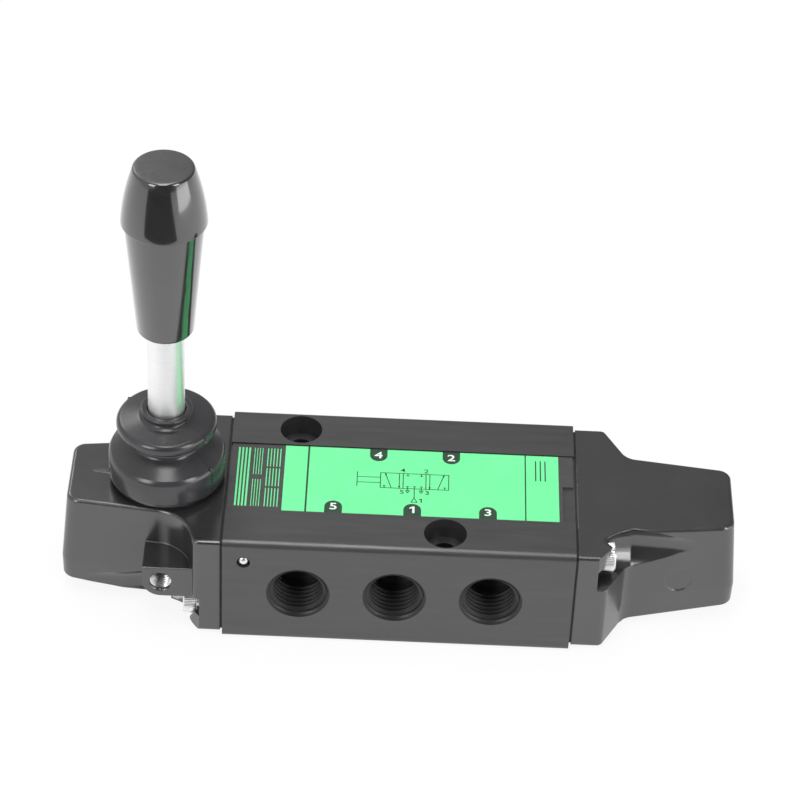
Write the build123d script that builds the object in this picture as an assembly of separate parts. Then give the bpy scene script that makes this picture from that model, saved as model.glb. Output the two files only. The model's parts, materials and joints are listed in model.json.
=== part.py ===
from build123d import *
from math import radians, tan
import os

# Hand lever spool valve, 5 ports and 3 positions, all sizes in millimetres.
# X runs along the spool with the lever end at -X, Y from the three-port front to the back,
# Z up. The origin is under the middle of the body, on the face it rests on.

# Valve body: an extruded bar with the spool bore through it
BODY_LENGTH = 80.0
BODY_WIDTH = 47.5
BODY_HEIGHT = 29.0
BODY_EDGE_RADIUS = 1.5
BORE_RADIUS = 9.0

# Ports: G1/4 parallel threads, three on the front and two between them on the back
PORT_PITCH = 22.0
PORT_SHIFT = -0.7
PORT_THREAD_RADIUS = 6.58
PORT_THREAD_DEPTH = 12.0
PORT_CHAMFER = 0.7
PORT_PASSAGE_RADIUS = 4.25

# Mounting holes for two M5 screws, sunk beside the label
MOUNT_HOLE_RADIUS = 2.75
MOUNT_SINK_RADIUS = 4.9
MOUNT_SINK_DEPTH = 5.3
MOUNT_HOLE_OFFSET = 17.3
MOUNT_HOLE_BACK_REACH = 23.3
MOUNT_HOLE_FRONT_REACH = 11.0

# Label plate in its groove
GROOVE_WIDTH = 23.5
GROOVE_DEPTH = 0.8
LABEL_THICKNESS = 0.5
LABEL_END_GAP = 0.3
LABEL_SIDE_GAP = 0.15
LABEL_NOTCH_LENGTH = 2.5
LABEL_NOTCH_WIDTH = 12.5

# Drilled duct closed by a steel ball
DUCT_RADIUS = 1.1
DUCT_DEPTH = 7.0
PLUG_HOLE_RADIUS = 1.55
PLUG_BALL_RADIUS = 1.5
PLUG_FROM_END = 4.8
PLUG_RISE = 8.8
PLUG_SINK = 0.05
PLUG_HOLE_DEPTH = 4.5

# End covers: two castings that share their tail, screws and pockets
GASKET_THICKNESS = 0.5
GASKET_INSET = 0.1
COVER_INSET = 0.9
COVER_LENGTH = 37.6
FLANGE_LENGTH = 6.9
SHOULDER_LENGTH = 5.2
TAIL_ROOT_HALF = 14.0
TAIL_END_HALF = 10.8
TAIL_CORNER_RADIUS = 3.0
SHOULDER_CORNER_RADIUS = 1.6
SHOULDER_HOLLOW_RADIUS = 4.0
LEVER_FLANGE_LENGTH = 6.2
LEVER_SHOULDER_LENGTH = 2.8
LEVER_HOLLOW_RADIUS = 9.0
PARTING_HEIGHT = 10.0
SIDE_DRAFT = 2.4
END_DRAFT = 4.8
LOWER_END_DRAFT = 1.0
BELLY_ROOT_RISE = 0.8
BELLY_END_RISE = 4.3
COVER_EDGE_RADIUS = 0.8
COVER_OVERRUN = 1.0

# Cover screws: M4 socket heads on spring washers, on one diagonal of each cover
SCREW_RADIUS = 2.0
SCREW_GRIP = 8.0
SCREW_HEAD_RADIUS = 3.5
SCREW_HEAD_LENGTH = 3.2
SCREW_SOCKET_RADIUS = 1.7
SCREW_SOCKET_DEPTH = 1.8
SCREW_HOLE_CLEARANCE = 0.2
TAPPED_CLEARANCE = 0.03
TAPPED_EXTRA_DEPTH = 2.0
SCREW_Y = 16.6
SCREW_RISE = 9.2
SCREW_SEAT = 4.8
WASHER_THICKNESS = 0.8
WASHER_RADIUS = 3.4
WASHER_GAP = 0.9
POCKET_CLEARANCE = 0.35
POCKET_FLOOR = 5.3
ROOF_BEND_RUN = 2.7
ROOF_BEND_Y = 19.3
ROOF_KNEE_RUN = 3.8
ROOF_KNEE_Y = 16.4
ROOF_END_RUN = 9.1
ROOF_END_Y = 12.7
ROOF_KNEE_RADIUS = 2.5
SCOOP_RADIUS = 6.3
SCOOP_RUN = 8.0
SCOOP_WAIST_RADIUS = 5.2
SCOOP_WAIST_RUN = 18.5
SCOOP_END_RADIUS = 5.6

# Boss with an M5 thread on the lever side, and its blank mark on the plain side
LUG_RADIUS = 4.2
LUG_INSET = 1.15
LUG_THREAD_RADIUS = 2.5
LUG_THREAD_DEPTH = 9.0
LUG_CHAMFER = 0.3
BLANK_RADIUS = 3.3
BLANK_DEPTH = 0.22
BLANK_FROM_BODY = 24.9
BLANK_DROP = 1.1

# Small rib cast on the lever cover beside the boot, tapering away from it
RIB_LENGTH = 3.4
RIB_HEIGHT = 0.6
RIB_RADIUS = 1.0
RIB_END_RADIUS = 0.5
RIB_SHIFT = 0.5

# Spool, its seals and the cages that space them
SPOOL_RADIUS = 5.0
SPOOL_NECK_RADIUS = 3.2
SPOOL_HALF_LENGTH = 37.0
SPOOL_TRAVEL = 2.75
LAND_OVERLAP = 1.2
SEAL_THICKNESS = 3.0
SEAL_LIP_CLEARANCE = 0.05
STACK_CLEARANCE = 0.05
CAGE_CLEARANCE = 0.4
CAGE_WINDOW = 5.2
CAGE_RIM = 1.2
CAGE_GROOVE_DEPTH = 1.0
STUD_RADIUS = 2.0
STUD_LENGTH = 8.0

# Lever, its fulcrum and the yoke that it drives
LEVER_FROM_BODY = 14.2
PIVOT_ARM = 10.5
LEVER_RADIUS = 4.2
PIN_RADIUS = 2.0
PIN_CLEARANCE = 0.03
PRESS_CLEARANCE = 0.01
PIN_FRONT_INSET = 3.0
PIN_BACK_INSET = 2.1
BUSH_WALL = 1.0
HUB_RADIUS = 5.0
HUB_HALF_WIDTH = 5.2
HUB_SOCKET_RISE = 9.0
HUB_SHANK_RADIUS = 2.2
BALL_RADIUS = 3.0
YOKE_RADIUS = 6.0
YOKE_LENGTH = 11.0
YOKE_STEM_RADIUS = 3.0
YOKE_BALL_CLEARANCE = 0.1
YOKE_FLARE = 0.36
CHAMBER_RADIUS = 7.2
CHAMBER_END_GAP = 3.0
SLOT_HALF_LENGTH = 9.2
SLOT_HALF_WIDTH = 6.0
SLOT_CORNER_RADIUS = 2.5
THRUST_WASHER_RADIUS = 4.4
THRUST_WASHER_GAP = 0.08
THREAD_STUB_RADIUS = 3.0
THREAD_STUB_LENGTH = 5.5
THREAD_END_GAP = 0.03
ROD_LENGTH = 37.2

# Knob and its brass insert
KNOB_SEAM_RISE = 29.7
KNOB_HEIGHT = 44.2
KNOB_BOTTOM_RADIUS = 6.4
KNOB_BOTTOM_ROUNDING = 0.9
KNOB_LOWER_SEAM_RADIUS = 8.85
KNOB_SEAM_RADIUS = 9.6
KNOB_TOP_RADIUS = 6.7
KNOB_TOP_ROUNDING = 0.8
KNOB_BULGE = 0.5
INSERT_RADIUS = 4.6
INSERT_LENGTH = 16.0

# Rubber boot and the collar it snaps on, heights above the boot's lower edge
COLLAR_RADIUS = 11.5
COLLAR_HEIGHT = 2.9
BOOT_BOTTOM_GAP = 1.3
BOOT_RADIUS = 13.5
BOOT_EDGE = 0.8
BOOT_WALL = 0.8
BOOT_SHOULDER_HEIGHT = 8.1
BOOT_SHOULDER_EDGE = 1.1
BOOT_SLOPE_RISE = 1.0
BOOT_WAIST_RADIUS = 8.7
BOOT_WAIST_HEIGHT = 11.2
BOOT_WAIST_LENGTH = 0.6
BOOT_FOLD_RADIUS = 11.6
BOOT_FOLD_HEIGHT = 13.3
BOOT_FOLD_LENGTH = 2.2
BOOT_FOLD_EDGE = 0.7
BOOT_NECK_RADIUS = 5.35
BOOT_NECK_LENGTH = 1.9
BOOT_NECK_FOOT = 0.6
BOOT_HEIGHT = 19.1
BOOT_ROD_GAP = 0.3
BOOT_COLLAR_GAP = 0.1

# Detent: a spring clip in a block grips one of three grooves of the stem
STEM_RADIUS = 3.0
STEM_LENGTH = 26.5
CLIP_FROM_BODY = 16.0
CLIP_WIRE_RADIUS = 0.6
CLIP_CLEARANCE = 0.08
CLIP_LEG_DROP = 5.2
CLIP_BEND_RISE = 3.4
CLIP_SLOT_CLEARANCE = 0.15
BLOCK_HALF_LENGTH = 3.2
BLOCK_RADIUS = 8.4
BLOCK_CLEARANCE = 0.1
STEM_CLEARANCE = 0.35
CIRCLIP_THICKNESS = 1.0
CIRCLIP_SEAT = 0.6
CIRCLIP_WIDTH = 1.7
CIRCLIP_OPENING = 5.0
TAIL_BORE_RADIUS = 5.0
TAIL_BORE_GAP = 3.0

# Worked out from the sizes above
AXIS_Z = BODY_HEIGHT / 2
BODY_END = BODY_LENGTH / 2
FRONT = -BODY_WIDTH / 2
BACK = BODY_WIDTH / 2
HALF_PITCH = PORT_PITCH / 2
PORT_XS = [PORT_SHIFT + step * HALF_PITCH for step in (-2, -1, 0, 1, 2)]
SEAL_XS = [x - HALF_PITCH / 2 for x in PORT_XS] + [PORT_XS[-1] + HALF_PITCH / 2]
PLUG_X = -BODY_END + PLUG_FROM_END
PLUG_Z = AXIS_Z + PLUG_RISE
COVER_START = BODY_END + GASKET_THICKNESS
COVER_END = COVER_START + COVER_LENGTH
COVER_HALF = BODY_WIDTH / 2 - COVER_INSET
COVER_BOTTOM = COVER_INSET
COVER_TOP = BODY_HEIGHT - COVER_INSET
TAIL_ROOT = COVER_START + FLANGE_LENGTH + SHOULDER_LENGTH
SEAT_X = COVER_START + SCREW_SEAT
CLIP_X = BODY_END + CLIP_FROM_BODY
CIRCLIP_RADIUS = BLOCK_RADIUS + BLOCK_CLEARANCE + CIRCLIP_SEAT
LEVER_X = -BODY_END - LEVER_FROM_BODY
PIVOT_Z = AXIS_Z + PIVOT_ARM
PIN_FRONT = -TAIL_ROOT_HALF + PIN_FRONT_INSET
PIN_BACK = TAIL_ROOT_HALF - PIN_BACK_INSET
LUG_FACE = -COVER_HALF + LUG_INSET
HUB_SOCKET_TOP = PIVOT_Z + HUB_SOCKET_RISE
KNOB_BOTTOM = HUB_SOCKET_TOP + ROD_LENGTH


def block(x0, x1, y0, y1, z0, z1):
    return Pos((x0 + x1) / 2, (y0 + y1) / 2, (z0 + z1) / 2) * Box(x1 - x0, y1 - y0, z1 - z0)


def bar_x(radius, x0, x1, y=0.0, z=AXIS_Z):
    return Pos((x0 + x1) / 2, y, z) * Rot(0, 90, 0) * Cylinder(radius, x1 - x0)


def bar_y(radius, y0, y1, x, z):
    return Pos(x, (y0 + y1) / 2, z) * Rot(-90, 0, 0) * Cylinder(radius, y1 - y0)


def bar_z(radius, z0, z1, x=0.0, y=0.0):
    return Pos(x, y, (z0 + z1) / 2) * Cylinder(radius, z1 - z0)


def cone_x(radius0, radius1, x0, x1, y=0.0, z=AXIS_Z):
    return Pos((x0 + x1) / 2, y, z) * Rot(0, 90, 0) * Cone(radius0, radius1, x1 - x0)


def turned_x(points):
    """A solid turned about the spool axis from (x, radius) points, closed along the axis."""
    outline = Polyline(*[(x, r) for x, r in points], close=True)
    return Pos(0, 0, AXIS_Z) * revolve(Plane.XY * make_face(outline), Axis.X)


def turned_z(points, x):
    """A solid turned about an upright axis from (radius, z) points."""
    outline = Plane.XZ * make_face(Polyline(*points, close=True))
    return Pos(x, 0, 0) * revolve(outline, Axis.Z)


# ---------------------------------------------------------------- valve body

def port_cutter(x, side):
    """One threaded port: side is -1 on the front and 1 on the back."""
    face = side * BODY_WIDTH / 2
    depth = face - side * PORT_THREAD_DEPTH
    thread = bar_y(PORT_THREAD_RADIUS, min(face, depth), max(face, depth), x, AXIS_Z)
    passage = bar_y(PORT_PASSAGE_RADIUS, min(0, depth), max(0, depth), x, AXIS_Z)
    mouth = Pos(x, face - side * PORT_CHAMFER / 2, AXIS_Z) * Rot(-90 * side, 0, 0) * Cone(
        PORT_THREAD_RADIUS, PORT_THREAD_RADIUS + PORT_CHAMFER, PORT_CHAMFER)
    return thread + passage + mouth


def mount_hole_cutter(x, y):
    hole = bar_z(MOUNT_HOLE_RADIUS, 0, BODY_HEIGHT, x, y)
    return hole + bar_z(MOUNT_SINK_RADIUS, BODY_HEIGHT - MOUNT_SINK_DEPTH, BODY_HEIGHT, x, y)


def screw_places(side):
    """Centres (y, z) of a cover's two screws: side is -1 at the lever end and 1 at the other."""
    return [(-SCREW_Y, AXIS_Z + side * SCREW_RISE), (SCREW_Y, AXIS_Z - side * SCREW_RISE)]


def make_valve_body():
    body = block(-BODY_END, BODY_END, FRONT, BACK, 0, BODY_HEIGHT)
    body = fillet(body.edges().filter_by(Axis.X), BODY_EDGE_RADIUS)
    body -= block(-BODY_END, BODY_END, -GROOVE_WIDTH / 2, GROOVE_WIDTH / 2,
                  BODY_HEIGHT - GROOVE_DEPTH, BODY_HEIGHT)
    body -= bar_x(BORE_RADIUS, -BODY_END, BODY_END)
    for place, x in enumerate(PORT_XS):
        body -= port_cutter(x, -1 if place % 2 == 0 else 1)
    body -= mount_hole_cutter(PORT_SHIFT - MOUNT_HOLE_BACK_REACH, MOUNT_HOLE_OFFSET)
    body -= mount_hole_cutter(PORT_SHIFT + MOUNT_HOLE_FRONT_REACH, -MOUNT_HOLE_OFFSET)
    for side in (-1, 1):
        inner = side * (BODY_END - SCREW_GRIP - TAPPED_EXTRA_DEPTH)
        outer = side * BODY_END
        for y, z in screw_places(side):
            body -= bar_x(SCREW_RADIUS + TAPPED_CLEARANCE, min(inner, outer), max(inner, outer), y, z)
    plug_end = FRONT + PLUG_HOLE_DEPTH
    body -= bar_y(PLUG_HOLE_RADIUS, FRONT, plug_end, PLUG_X, PLUG_Z)
    body -= bar_x(DUCT_RADIUS, -BODY_END, -BODY_END + DUCT_DEPTH, plug_end, PLUG_Z)
    return body


def make_label_plate():
    half = GROOVE_WIDTH / 2 - LABEL_SIDE_GAP
    end = BODY_END - LABEL_END_GAP
    floor = BODY_HEIGHT - GROOVE_DEPTH
    plate = block(-end, end, -half, half, floor, floor + LABEL_THICKNESS)
    return plate - block(end - LABEL_NOTCH_LENGTH, end, -half, -half + LABEL_NOTCH_WIDTH,
                         floor, floor + LABEL_THICKNESS)


def make_plug_ball():
    return Pos(PLUG_X, FRONT + PLUG_SINK + PLUG_BALL_RADIUS, PLUG_Z) * Sphere(PLUG_BALL_RADIUS)


# ---------------------------------------------------------------- end covers

def rounded_at(outline, x, radius):
    """The outline with its corners at this x rounded."""
    return fillet([v for v in outline.vertices() if abs(v.X - x) < 0.01], radius)


def tail_outline(z, end_inset, side_inset, flange, shoulder, hollow):
    """The plan outline of a cover at one height."""
    flange_end = COVER_START + flange
    root = flange_end + shoulder
    end = COVER_END - end_inset
    half = [(COVER_START, COVER_HALF), (flange_end, COVER_HALF),
            (root, TAIL_ROOT_HALF - side_inset), (end, TAIL_END_HALF - side_inset)]
    outline = make_face(Polyline(*half, *[(x, -y) for x, y in reversed(half)], close=True))
    outline = rounded_at(outline, flange_end, SHOULDER_CORNER_RADIUS)
    outline = rounded_at(outline, root, hollow)
    outline = rounded_at(outline, end, TAIL_CORNER_RADIUS)
    return Pos(0, 0, z) * outline


def on_cover_rim(edge):
    """True for the long edges round the top and the bottom of a cover."""
    box = edge.bounding_box()
    at_joint = box.max.X < COVER_START + 0.01
    flat_top = box.min.Z > COVER_TOP - 0.01
    flat_bottom = box.max.Z < COVER_BOTTOM + 0.01
    return (flat_top or flat_bottom) and not at_joint


def cover_blank(*shoulder_form):
    """The cast shape of a cover at the +X end, before its bore and screw pockets."""
    up = COVER_TOP - PARTING_HEIGHT
    down = PARTING_HEIGHT - COVER_BOTTOM
    side_draft = tan(radians(SIDE_DRAFT))
    end_up = up * tan(radians(END_DRAFT))
    end_down = down * tan(radians(LOWER_END_DRAFT))
    parting = tail_outline(PARTING_HEIGHT, 0, 0, *shoulder_form)
    top = tail_outline(COVER_TOP, end_up, up * side_draft, *shoulder_form)
    bottom = tail_outline(COVER_BOTTOM, end_down, down * side_draft, *shoulder_form)
    blank = loft([parting, top], ruled=True) + loft([bottom, parting], ruled=True)
    blank = fillet(blank.edges().filter_by(on_cover_rim), COVER_EDGE_RADIUS)
    low = COVER_BOTTOM - COVER_OVERRUN
    end = COVER_END + COVER_OVERRUN
    belly = make_face(Polyline((TAIL_ROOT, low), (end, low), (end, COVER_BOTTOM + BELLY_END_RISE),
                               (TAIL_ROOT, COVER_BOTTOM + BELLY_ROOT_RISE), close=True))
    return blank - extrude(Plane.XZ * belly, COVER_HALF, both=True)


def roof_cutter(y, z):
    """Cuts back the wall above or below a screw head on a slant, in plan, to open its pocket."""
    out = 1 if y > 0 else -1
    far = out * (COVER_HALF + COVER_OVERRUN)
    knee = SEAT_X + ROOF_KNEE_RUN
    end = SEAT_X + ROOF_END_RUN
    plan = make_face(Polyline((SEAT_X, far), (SEAT_X, out * COVER_HALF),
                              (SEAT_X + ROOF_BEND_RUN, out * ROOF_BEND_Y), (knee, out * ROOF_KNEE_Y),
                              (end, out * ROOF_END_Y), (end, far), close=True))
    plan = rounded_at(plan, knee, ROOF_KNEE_RADIUS)
    edge = COVER_TOP + COVER_OVERRUN if z > AXIS_Z else COVER_BOTTOM - COVER_OVERRUN
    return Pos(0, 0, z) * extrude(plan, edge - z)


def screw_pocket(y, z):
    """Room for one screw head: a round seat, open forwards, that flares into a fading scoop."""
    seat_radius = SCREW_HEAD_RADIUS + POCKET_CLEARANCE
    out = 1 if y > 0 else -1
    up = 1 if z > AXIS_Z else -1
    flare_end = SEAT_X + SCOOP_RUN
    waist = SEAT_X + SCOOP_WAIST_RUN
    pocket = cone_x(seat_radius, SCOOP_RADIUS, SEAT_X, flare_end, y, z)
    pocket += cone_x(SCOOP_RADIUS, SCOOP_WAIST_RADIUS, flare_end, waist, y, z)
    pocket += cone_x(SCOOP_WAIST_RADIUS, SCOOP_END_RADIUS, waist, COVER_END + COVER_OVERRUN, y, z)
    far = out * (COVER_HALF + COVER_OVERRUN)
    floor = z - up * POCKET_FLOOR
    pocket += block(SEAT_X, flare_end, min(y, far), max(y, far), min(z, floor), max(z, floor))
    return pocket + roof_cutter(y, z)


def cover_casting(*shoulder_form):
    """A cover's casting at the +X end, with its screw pockets and screw holes."""
    cover = cover_blank(*shoulder_form)
    for y, z in screw_places(1):
        cover -= screw_pocket(y, z)
        cover -= bar_x(SCREW_RADIUS + SCREW_HOLE_CLEARANCE, COVER_START, SEAT_X, y, z)
    return cover


def blank_mark():
    """A shallow round recess in the tail's front wall, square to it."""
    taper = (TAIL_ROOT_HALF - TAIL_END_HALF) / (COVER_END - TAIL_ROOT)
    draft = tan(radians(SIDE_DRAFT))
    x = BODY_END + BLANK_FROM_BODY
    z = AXIS_Z - BLANK_DROP
    wall = TAIL_ROOT_HALF - (x - TAIL_ROOT) * taper - (z - PARTING_HEIGHT) * draft
    return Plane(origin=(x, -wall, z), z_dir=(taper, -1, draft)) * Cylinder(BLANK_RADIUS, 2 * BLANK_DEPTH)


def make_end_cover():
    cover = cover_casting(FLANGE_LENGTH, SHOULDER_LENGTH, SHOULDER_HOLLOW_RADIUS)
    shoulder = CLIP_X + BLOCK_HALF_LENGTH
    cover -= bar_x(BLOCK_RADIUS + BLOCK_CLEARANCE, COVER_START, shoulder)
    stem_reach = spool_end(1) + STEM_LENGTH + SPOOL_TRAVEL
    cover -= bar_x(TAIL_BORE_RADIUS, shoulder, stem_reach + TAIL_BORE_GAP)
    cover -= bar_x(CIRCLIP_RADIUS, circlip_place(), circlip_place() + CIRCLIP_THICKNESS)
    return cover - blank_mark()


def make_lever_housing():
    """The lever end's cover, with the lever's slot, the boot's collar and a threaded boss."""
    cover = for_end(cover_casting(LEVER_FLANGE_LENGTH, LEVER_SHOULDER_LENGTH, LEVER_HOLLOW_RADIUS), -1)
    cover += bar_z(COLLAR_RADIUS, AXIS_Z, COVER_TOP + COLLAR_HEIGHT, LEVER_X)
    cover += lever_side_boss()
    cover += make_rib()
    yoke_end = LEVER_X - YOKE_LENGTH / 2 - SPOOL_TRAVEL
    cover -= bar_x(CHAMBER_RADIUS, yoke_end - CHAMBER_END_GAP, -COVER_START)
    slot = RectangleRounded(2 * SLOT_HALF_LENGTH, 2 * SLOT_HALF_WIDTH, SLOT_CORNER_RADIUS)
    cover -= Pos(LEVER_X, 0, AXIS_Z) * extrude(slot, BODY_HEIGHT)
    cover -= bar_y(PIN_RADIUS + PRESS_CLEARANCE, PIN_FRONT, BACK, LEVER_X, PIVOT_Z)
    cover -= bar_y(LUG_THREAD_RADIUS, LUG_FACE, LUG_FACE + LUG_THREAD_DEPTH, LEVER_X, AXIS_Z)
    return cover - Pos(LEVER_X, LUG_FACE + LUG_CHAMFER / 2, AXIS_Z) * Rot(90, 0, 0) * Cone(
        LUG_THREAD_RADIUS, LUG_THREAD_RADIUS + LUG_CHAMFER, LUG_CHAMFER)


def lever_side_boss():
    """The boss for the M5 thread: round below, square above, and joined to the flange by its own rib."""
    inner = -TAIL_END_HALF
    flange = -COVER_START - LEVER_FLANGE_LENGTH + SHOULDER_CORNER_RADIUS
    left = LEVER_X - LUG_RADIUS
    boss = bar_y(LUG_RADIUS, LUG_FACE, inner, LEVER_X, AXIS_Z)
    boss += block(left, flange, LUG_FACE, inner, AXIS_Z, AXIS_Z + LUG_RADIUS)
    return boss + block(LEVER_X, flange, LUG_FACE, inner, AXIS_Z - LUG_RADIUS, AXIS_Z)


def make_rib():
    """A low rib on the cover's top, from the collar outwards."""
    end = LEVER_X - BOOT_RADIUS - RIB_LENGTH
    sunk = COVER_TOP + RIB_HEIGHT - RIB_RADIUS
    return cone_x(RIB_END_RADIUS, RIB_RADIUS, end, LEVER_X - COLLAR_RADIUS, RIB_SHIFT, sunk)


def gasket(side):
    half = COVER_HALF - GASKET_INSET
    low = COVER_BOTTOM + GASKET_INSET
    high = COVER_TOP - GASKET_INSET
    x0, x1 = sorted((side * BODY_END, side * COVER_START))
    sheet = block(x0, x1, -half, half, low, high)
    sheet = fillet(sheet.edges().filter_by(Axis.X), BODY_EDGE_RADIUS)
    sheet -= bar_x(CHAMBER_RADIUS, x0, x1)
    for y, z in screw_places(side):
        sheet -= bar_x(SCREW_RADIUS + SCREW_HOLE_CLEARANCE, x0, x1, y, z)
    return sheet


def for_end(shape, side):
    """The shape as modelled for the +X end, or turned about Z for the lever end."""
    return shape if side > 0 else Rot(0, 0, 180) * shape


def cover_screw(y, z):
    """A socket head screw through the +X cover."""
    head_start = SEAT_X + WASHER_THICKNESS
    head_end = head_start + SCREW_HEAD_LENGTH
    screw = bar_x(SCREW_RADIUS, BODY_END - SCREW_GRIP, head_start, y, z)
    screw += bar_x(SCREW_HEAD_RADIUS, head_start, head_end, y, z)
    key = extrude(RegularPolygon(SCREW_SOCKET_RADIUS, 6), SCREW_SOCKET_DEPTH)
    return screw - Pos(head_end - SCREW_SOCKET_DEPTH, y, z) * Rot(0, 90, 0) * key


def make_cover_screws(side):
    return for_end(Compound([cover_screw(y, z) for y, z in screw_places(1)]), side)


def spring_washer(y, z):
    hole = SCREW_RADIUS + SCREW_HOLE_CLEARANCE
    washer = bar_x(WASHER_RADIUS, SEAT_X, SEAT_X + WASHER_THICKNESS, y, z)
    washer -= bar_x(hole, SEAT_X, SEAT_X + WASHER_THICKNESS, y, z)
    return washer - block(SEAT_X, SEAT_X + WASHER_THICKNESS, y - WASHER_GAP / 2, y + WASHER_GAP / 2,
                          z, z + WASHER_RADIUS)


def make_spring_washers(side):
    return for_end(Compound([spring_washer(y, z) for y, z in screw_places(1)]), side)


# ---------------------------------------------------------------- spool, seals and cages

def make_seal(x):
    """A rubber ring that fills the bore and wipes the spool on a narrower lip."""
    half = SEAL_THICKNESS / 2
    lip = half / 2
    inner = SPOOL_RADIUS + SEAL_LIP_CLEARANCE
    relieved = SPOOL_RADIUS + CAGE_CLEARANCE
    return turned_x([(x - half, relieved), (x - lip, inner), (x + lip, inner), (x + half, relieved),
                     (x + half, BORE_RADIUS - STACK_CLEARANCE), (x - half, BORE_RADIUS - STACK_CLEARANCE)])


def make_cage(x):
    """A spacer ring round one port: two rims joined by four posts between its windows."""
    half = HALF_PITCH / 2 - SEAL_THICKNESS / 2
    rim = half - CAGE_RIM
    outer = BORE_RADIUS - STACK_CLEARANCE
    inner = SPOOL_RADIUS + CAGE_CLEARANCE
    groove = outer - CAGE_GROOVE_DEPTH
    cage = turned_x([(x - half, inner), (x - half, outer), (x - rim, outer), (x - rim, groove),
                     (x + rim, groove), (x + rim, outer), (x + half, outer), (x + half, inner)])
    window = CAGE_WINDOW / 2
    cage -= block(x - rim, x + rim, -window, window, 0, BODY_HEIGHT)
    return cage - block(x - rim, x + rim, FRONT, BACK, AXIS_Z - window, AXIS_Z + window)


def make_end_sleeve(side):
    """Fills the bore from the last seal to the end of the body."""
    seal = SEAL_XS[0] - SEAL_THICKNESS / 2 if side < 0 else SEAL_XS[-1] + SEAL_THICKNESS / 2
    x0, x1 = sorted((seal, side * BODY_END))
    return bar_x(BORE_RADIUS - STACK_CLEARANCE, x0, x1) - bar_x(SPOOL_RADIUS + CAGE_CLEARANCE, x0, x1)


def spool_end(side):
    return PORT_SHIFT + side * SPOOL_HALF_LENGTH


def make_spool():
    """Three lands that close every port in the middle position, with necks between them."""
    seal_face = HALF_PITCH / 2 + LAND_OVERLAP
    outer_face = HALF_PITCH * 1.5 - LAND_OVERLAP
    spool = bar_x(SPOOL_RADIUS, spool_end(-1), spool_end(1))
    for side in (-1, 1):
        x0, x1 = sorted((PORT_SHIFT + side * seal_face, PORT_SHIFT + side * outer_face))
        spool -= bar_x(SPOOL_RADIUS, x0, x1) - bar_x(SPOOL_NECK_RADIUS, x0, x1)
        end = spool_end(side)
        x0, x1 = sorted((end, end - side * (STUD_LENGTH + TAPPED_EXTRA_DEPTH)))
        spool -= bar_x(STUD_RADIUS + TAPPED_CLEARANCE, x0, x1)
    return spool


def make_spool_yoke():
    """The lever's end of the spool: a head with a flared cross hole, a stem and a threaded stud."""
    left = LEVER_X - YOKE_LENGTH / 2
    right = LEVER_X + YOKE_LENGTH / 2
    end = spool_end(-1)
    yoke = bar_x(YOKE_RADIUS, left, right) + bar_x(YOKE_STEM_RADIUS, right, end)
    yoke += bar_x(STUD_RADIUS, end, end + STUD_LENGTH)
    socket = BALL_RADIUS + YOKE_BALL_CLEARANCE
    flare_start = AXIS_Z + SPOOL_TRAVEL / 3
    flare_end = AXIS_Z + YOKE_RADIUS
    rise = flare_end - flare_start
    yoke -= bar_z(socket, AXIS_Z - YOKE_RADIUS, flare_end, LEVER_X)
    flare = Pos(LEVER_X, 0, flare_start + rise / 2) * Cone(socket, socket + YOKE_FLARE * rise, rise)
    return yoke - flare


def make_detent_stem():
    """The far end of the spool, with one groove for each of the three positions."""
    start = spool_end(1)
    stem = bar_x(STEM_RADIUS, start, start + STEM_LENGTH) + bar_x(STUD_RADIUS, start - STUD_LENGTH, start)
    for step in (-1, 0, 1):
        groove = Pos(CLIP_X + step * SPOOL_TRAVEL, 0, AXIS_Z) * Rot(0, 90, 0) * Torus(
            STEM_RADIUS, CLIP_WIRE_RADIUS + CLIP_CLEARANCE)
        stem -= groove
    return stem


# ---------------------------------------------------------------- detent in the plain cover

def make_detent_spring():
    """A hairpin of round wire that straddles the stem and bends over its top."""
    top = AXIS_Z + CLIP_BEND_RISE
    low = AXIS_Z - CLIP_LEG_DROP
    route = Line((STEM_RADIUS, low), (STEM_RADIUS, top))
    route += ThreePointArc((STEM_RADIUS, top), (0, top + STEM_RADIUS), (-STEM_RADIUS, top))
    route += Line((-STEM_RADIUS, top), (-STEM_RADIUS, low))
    path = Plane.YZ * route
    section = Pos(0, STEM_RADIUS, low) * Circle(CLIP_WIRE_RADIUS)
    return Pos(CLIP_X, 0, 0) * sweep(section, path=path)


def make_detent_block():
    """A moulded plug in the cover's bore that guides the stem and holds the spring in a slot."""
    slot = CLIP_WIRE_RADIUS + CLIP_SLOT_CLEARANCE
    reach = STEM_RADIUS + slot
    holder = bar_x(BLOCK_RADIUS, CLIP_X - BLOCK_HALF_LENGTH, CLIP_X + BLOCK_HALF_LENGTH)
    holder -= bar_x(STEM_RADIUS + STEM_CLEARANCE, CLIP_X - BLOCK_HALF_LENGTH, CLIP_X + BLOCK_HALF_LENGTH)
    return holder - block(CLIP_X - slot, CLIP_X + slot, -reach, reach,
                          AXIS_Z - CLIP_LEG_DROP - CLIP_SLOT_CLEARANCE, AXIS_Z + BLOCK_RADIUS)


def circlip_place():
    return CLIP_X - BLOCK_HALF_LENGTH - CIRCLIP_THICKNESS


def make_detent_circlip():
    """An open ring sprung into the cover's groove in front of the detent block."""
    x0 = circlip_place()
    x1 = x0 + CIRCLIP_THICKNESS
    ring = bar_x(CIRCLIP_RADIUS, x0, x1) - bar_x(CIRCLIP_RADIUS - CIRCLIP_WIDTH, x0, x1)
    return ring - block(x0, x1, -CIRCLIP_OPENING / 2, CIRCLIP_OPENING / 2, AXIS_Z - BODY_HEIGHT, AXIS_Z)


# ---------------------------------------------------------------- lever

def make_pivot_pin():
    """Pressed in from the back; it ends in a blind hole at the front."""
    return bar_y(PIN_RADIUS, PIN_FRONT, PIN_BACK, LEVER_X, PIVOT_Z)


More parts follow.
